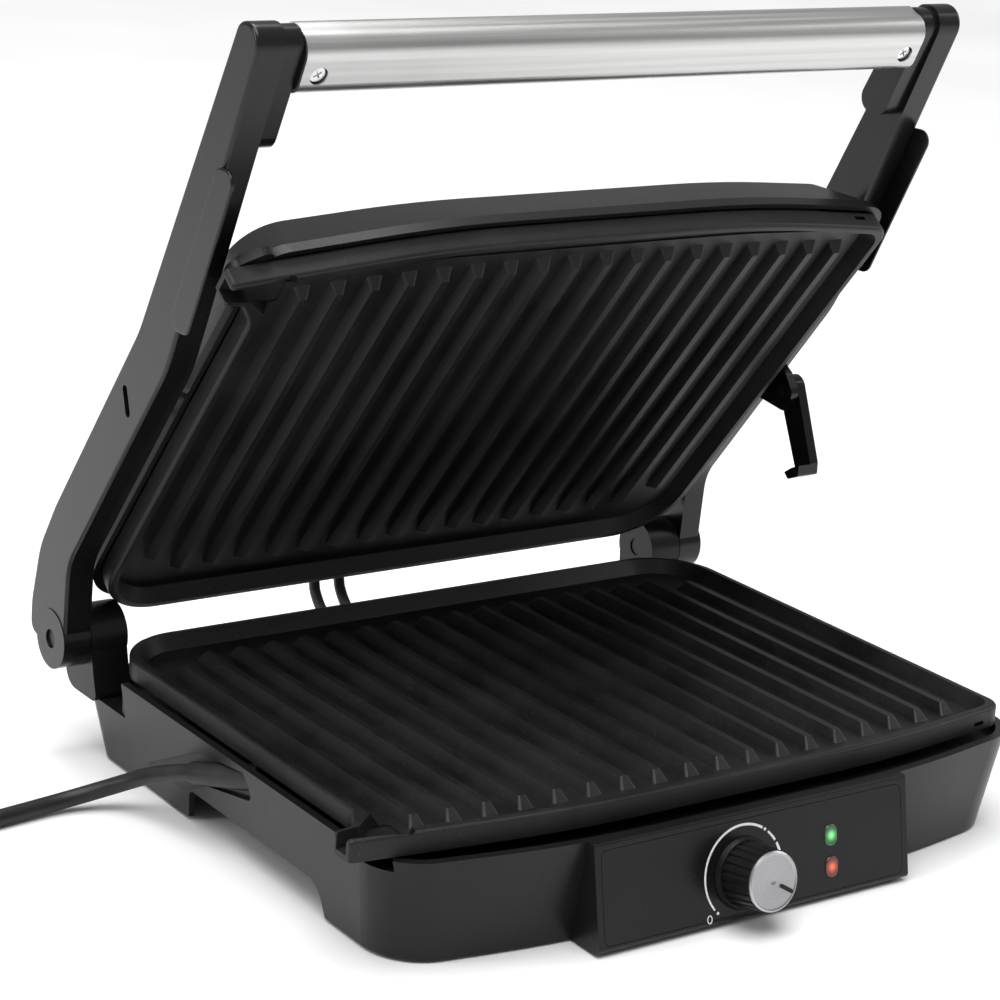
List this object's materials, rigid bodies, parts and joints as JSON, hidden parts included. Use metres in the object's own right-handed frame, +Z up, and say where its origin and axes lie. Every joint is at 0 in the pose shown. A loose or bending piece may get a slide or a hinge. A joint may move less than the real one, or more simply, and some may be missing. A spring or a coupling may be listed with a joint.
{
  "type": "panini press",
  "caption": "Contact grill with ribbed plates, a floating lid on two arms with a tube handle, a lid lock, a thermostat knob and a mains cord.",
  "frame": {"origin": "on the resting surface, in the middle of the lower grill plate across and near its middle front to back", "axes": "+X to the object's right as the cook faces it, +Y to the hinge at the back, +Z up"},
  "size_m": [0.4758, 0.3287, 0.3259],
  "materials": {
    "grill_coating": "matt dark non-stick coating on cast aluminium",
    "housing_plastic": "satin black heat-proof plastic",
    "arm_plastic": "half-gloss black plastic",
    "panel_gloss": "glossy black plastic",
    "knob_plastic": "matt black plastic",
    "green_lens": "clear green lamp cover",
    "red_lens": "clear orange-red lamp cover",
    "circuit_board": "glass fibre board",
    "brushed_steel": "brushed along the tube",
    "heater_steel": "heat-darkened tube",
    "reflector_sheet": "plain sheet",
    "bright_steel": "plated steel",
    "foot_rubber": "matt",
    "cord_rubber": "smooth black cord sheath",
    "plug_brass": "bright"
  },
  "bodies": {
    "base": {"base_housing": "housing_plastic", "base_bottom_cover": "housing_plastic", "rubber_feet": "foot_rubber", "base_screws": "bright_steel", "lower_plate_screws": "bright_steel", "lower_grill_plate": "grill_coating", "lower_heating_element": "heater_steel", "lower_reflector": "reflector_sheet", "lower_thermal_cutout": "reflector_sheet", "control_fascia": "panel_gloss", "ready_lens": "green_lens", "power_lens": "red_lens", "lamp_board": "circuit_board", "thermostat": "knob_plastic", "terminal_block": "knob_plastic", "left_hinge_pin": "bright_steel", "right_hinge_pin": "bright_steel", "cord_sleeve": "cord_rubber", "power_cord": "cord_rubber", "cord_coil": "cord_rubber", "cord_tail": "cord_rubber", "mains_plug": "cord_rubber", "plug_pins": "plug_brass", "link_leads": "cord_rubber"},
    "arms": {"left_arm": "arm_plastic", "right_arm": "arm_plastic", "handle_tube": "brushed_steel", "left_handle_core": "knob_plastic", "right_handle_core": "knob_plastic", "handle_screws": "bright_steel", "lock_pin": "bright_steel"},
    "head": {"upper_grill_plate": "grill_coating", "upper_heating_element": "heater_steel", "upper_reflector": "reflector_sheet", "upper_thermal_cutout": "reflector_sheet", "upper_plate_screws": "bright_steel", "upper_housing": "housing_plastic", "float_pins": "bright_steel", "float_stop_pegs": "bright_steel"},
    "lock": {"lock_lever": "arm_plastic"},
    "knob": {"knob_spindle": "bright_steel", "knob_body": "knob_plastic", "knob_cap": "panel_gloss"}
  },
  "joints": [
    {"name": "lid_hinge", "type": "hinge", "parent": "base", "child": "arms", "pos_m": [0, 0.1258, 0.0508], "axis": [-1, 0, 0], "range_deg": [-51.5, 50], "deforming": ["link_leads"]},
    {"name": "float_lift", "type": "slide", "parent": "arms", "child": "head", "axis": [0, 0.3, 0.9539], "range_m": [0, 0.009]},
    {"name": "lock_swing", "type": "hinge", "parent": "arms", "child": "lock", "pos_m": [0.1636, 0.054, 0.144], "axis": [-1, 0, 0], "range_deg": [-24, 21]},
    {"name": "heat_knob", "type": "hinge", "parent": "base", "child": "knob", "pos_m": [-0.008, -0.138, 0.01945], "axis": [0, -0.9815, 0.1915], "range_deg": [-270, 20]}
  ]
}
